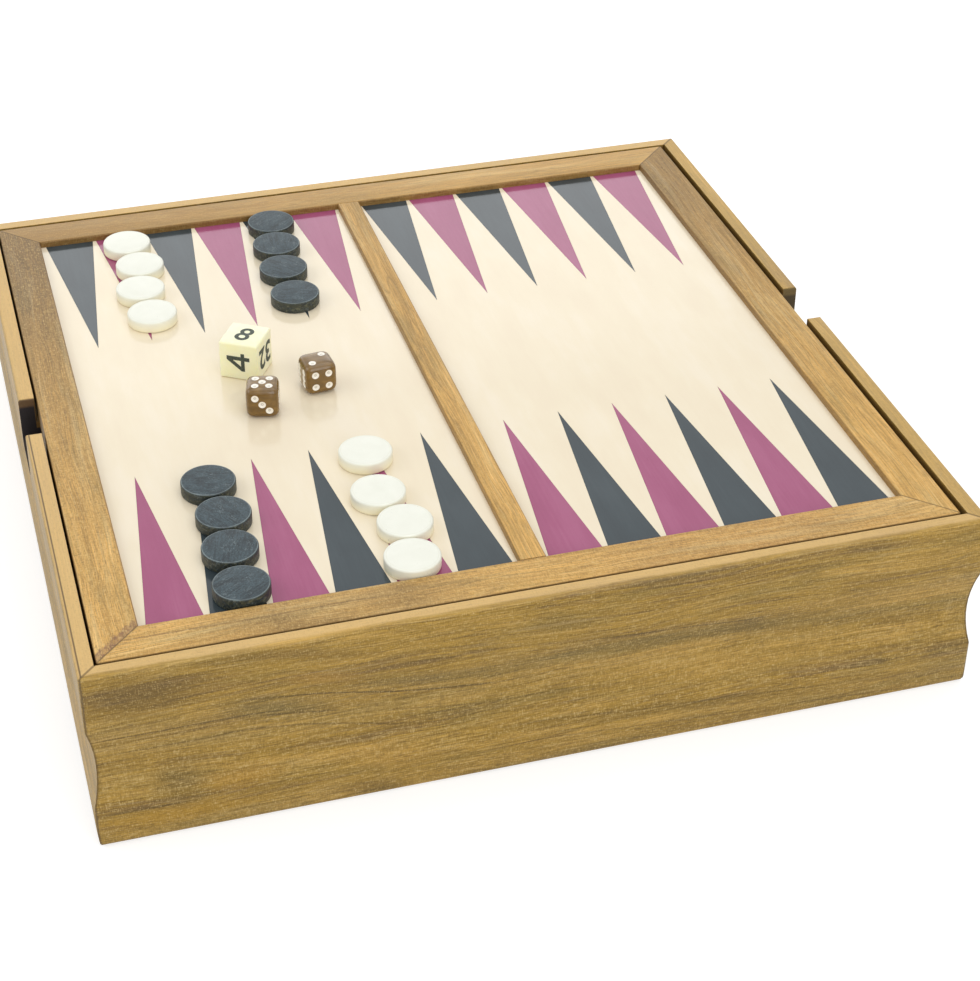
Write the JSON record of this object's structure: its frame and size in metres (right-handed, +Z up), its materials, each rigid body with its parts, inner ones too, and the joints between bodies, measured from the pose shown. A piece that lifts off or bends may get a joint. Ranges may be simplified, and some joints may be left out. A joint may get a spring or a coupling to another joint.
{
  "type": "games compendium box",
  "caption": "Square moulded wooden games box with a lift-off framed board as its lid, set out with counters, dice and a doubling cube.",
  "frame": {"origin": "centre of the box's underside, on the table", "axes": "+Z up, +X to the right and -Y towards the player whose row is nearest in the picture"},
  "size_m": [0.32, 0.32, 0.0868],
  "materials": {
    "wall_wood": "satin lacquered",
    "rail_wood": "satin lacquered",
    "plywood": "sanded, matte",
    "cream_veneer": "satin lacquered",
    "grey_veneer": "satin lacquered",
    "purple_veneer": "satin lacquered",
    "brown_veneer": "satin lacquered",
    "baize": "short pile",
    "white_painted_wood": "semi-gloss paint",
    "black_stained_wood": "matte stain",
    "amber_plastic": "pearly gloss",
    "ivory_plastic": "semi-gloss"
  },
  "bodies": {
    "box": {"front_wall": "wall_wood", "back_wall": "wall_wood", "left_wall": "wall_wood", "right_wall": "wall_wood", "base_panel": "plywood", "wall_corner_keys": "plywood", "long_divider": "plywood", "left_cross_divider": "plywood", "right_cross_divider": "plywood", "base_lining": "baize"},
    "lid": {"lid_front_rail": "rail_wood", "lid_back_rail": "rail_wood", "lid_left_rail": "rail_wood", "lid_right_rail": "rail_wood", "lid_corner_keys": "plywood", "centre_bar": "rail_wood", "board_core": "plywood", "playing_field": "cream_veneer", "grey_points": "grey_veneer", "purple_points": "purple_veneer", "draughts_border": "rail_wood", "draughts_light_squares": "cream_veneer", "draughts_dark_squares": "brown_veneer"},
    "white_counter_1_body": {"white_counter_1": "white_painted_wood"},
    "white_counter_2_body": {"white_counter_2": "white_painted_wood"},
    "white_counter_3_body": {"white_counter_3": "white_painted_wood"},
    "white_counter_4_body": {"white_counter_4": "white_painted_wood"},
    "white_counter_5_body": {"white_counter_5": "white_painted_wood"},
    "white_counter_6_body": {"white_counter_6": "white_painted_wood"},
    "white_counter_7_body": {"white_counter_7": "white_painted_wood"},
    "white_counter_8_body": {"white_counter_8": "white_painted_wood"},
    "black_counter_1_body": {"black_counter_1": "black_stained_wood"},
    "black_counter_2_body": {"black_counter_2": "black_stained_wood"},
    "black_counter_3_body": {"black_counter_3": "black_stained_wood"},
    "black_counter_4_body": {"black_counter_4": "black_stained_wood"},
    "black_counter_5_body": {"black_counter_5": "black_stained_wood"},
    "black_counter_6_body": {"black_counter_6": "black_stained_wood"},
    "black_counter_7_body": {"black_counter_7": "black_stained_wood"},
    "black_counter_8_body": {"black_counter_8": "black_stained_wood"},
    "die_five_body": {"die_five": "amber_plastic"},
    "die_two_body": {"die_two": "amber_plastic"},
    "doubling_cube_body": {"doubling_cube": "ivory_plastic"}
  },
  "joints": [
    {"name": "lid_lift", "type": "slide", "parent": "box", "child": "lid", "axis": [0, 0, 1], "range_m": [0, 0.08]},
    {"name": "white_counter_1_lift", "type": "slide", "parent": "lid", "child": "white_counter_1_body", "axis": [0, 0, 1], "range_m": [0, 0.03]},
    {"name": "white_counter_2_lift", "type": "slide", "parent": "lid", "child": "white_counter_2_body", "axis": [0, 0, 1], "range_m": [0, 0.03]},
    {"name": "white_counter_3_lift", "type": "slide", "parent": "lid", "child": "white_counter_3_body", "axis": [0, 0, 1], "range_m": [0, 0.03]},
    {"name": "white_counter_4_lift", "type": "slide", "parent": "lid", "child": "white_counter_4_body", "axis": [0, 0, 1], "range_m": [0, 0.03]},
    {"name": "white_counter_5_lift", "type": "slide", "parent": "lid", "child": "white_counter_5_body", "axis": [0, 0, 1], "range_m": [0, 0.03]},
    {"name": "white_counter_6_lift", "type": "slide", "parent": "lid", "child": "white_counter_6_body", "axis": [0, 0, 1], "range_m": [0, 0.03]},
    {"name": "white_counter_7_lift", "type": "slide", "parent": "lid", "child": "white_counter_7_body", "axis": [0, 0, 1], "range_m": [0, 0.03]},
    {"name": "white_counter_8_lift", "type": "slide", "parent": "lid", "child": "white_counter_8_body", "axis": [0, 0, 1], "range_m": [0, 0.03]},
    {"name": "black_counter_1_lift", "type": "slide", "parent": "lid", "child": "black_counter_1_body", "axis": [0, 0, 1], "range_m": [0, 0.03]},
    {"name": "black_counter_2_lift", "type": "slide", "parent": "lid", "child": "black_counter_2_body", "axis": [0, 0, 1], "range_m": [0, 0.03]},
    {"name": "black_counter_3_lift", "type": "slide", "parent": "lid", "child": "black_counter_3_body", "axis": [0, 0, 1], "range_m": [0, 0.03]},
    {"name": "black_counter_4_lift", "type": "slide", "parent": "lid", "child": "black_counter_4_body", "axis": [0, 0, 1], "range_m": [0, 0.03]},
    {"name": "black_counter_5_lift", "type": "slide", "parent": "lid", "child": "black_counter_5_body", "axis": [0, 0, 1], "range_m": [0, 0.03]},
    {"name": "black_counter_6_lift", "type": "slide", "parent": "lid", "child": "black_counter_6_body", "axis": [0, 0, 1], "range_m": [0, 0.03]},
    {"name": "black_counter_7_lift", "type": "slide", "parent": "lid", "child": "black_counter_7_body", "axis": [0, 0, 1], "range_m": [0, 0.03]},
    {"name": "black_counter_8_lift", "type": "slide", "parent": "lid", "child": "black_counter_8_body", "axis": [0, 0, 1], "range_m": [0, 0.03]},
    {"name": "die_five_lift", "type": "slide", "parent": "lid", "child": "die_five_body", "axis": [0, 0, 1], "range_m": [0, 0.03]},
    {"name": "die_two_lift", "type": "slide", "parent": "lid", "child": "die_two_body", "axis": [0, 0, 1], "range_m": [0, 0.03]},
    {"name": "doubling_cube_lift", "type": "slide", "parent": "lid", "child": "doubling_cube_body", "axis": [0, 0, 1], "range_m": [0, 0.03]}
  ]
}
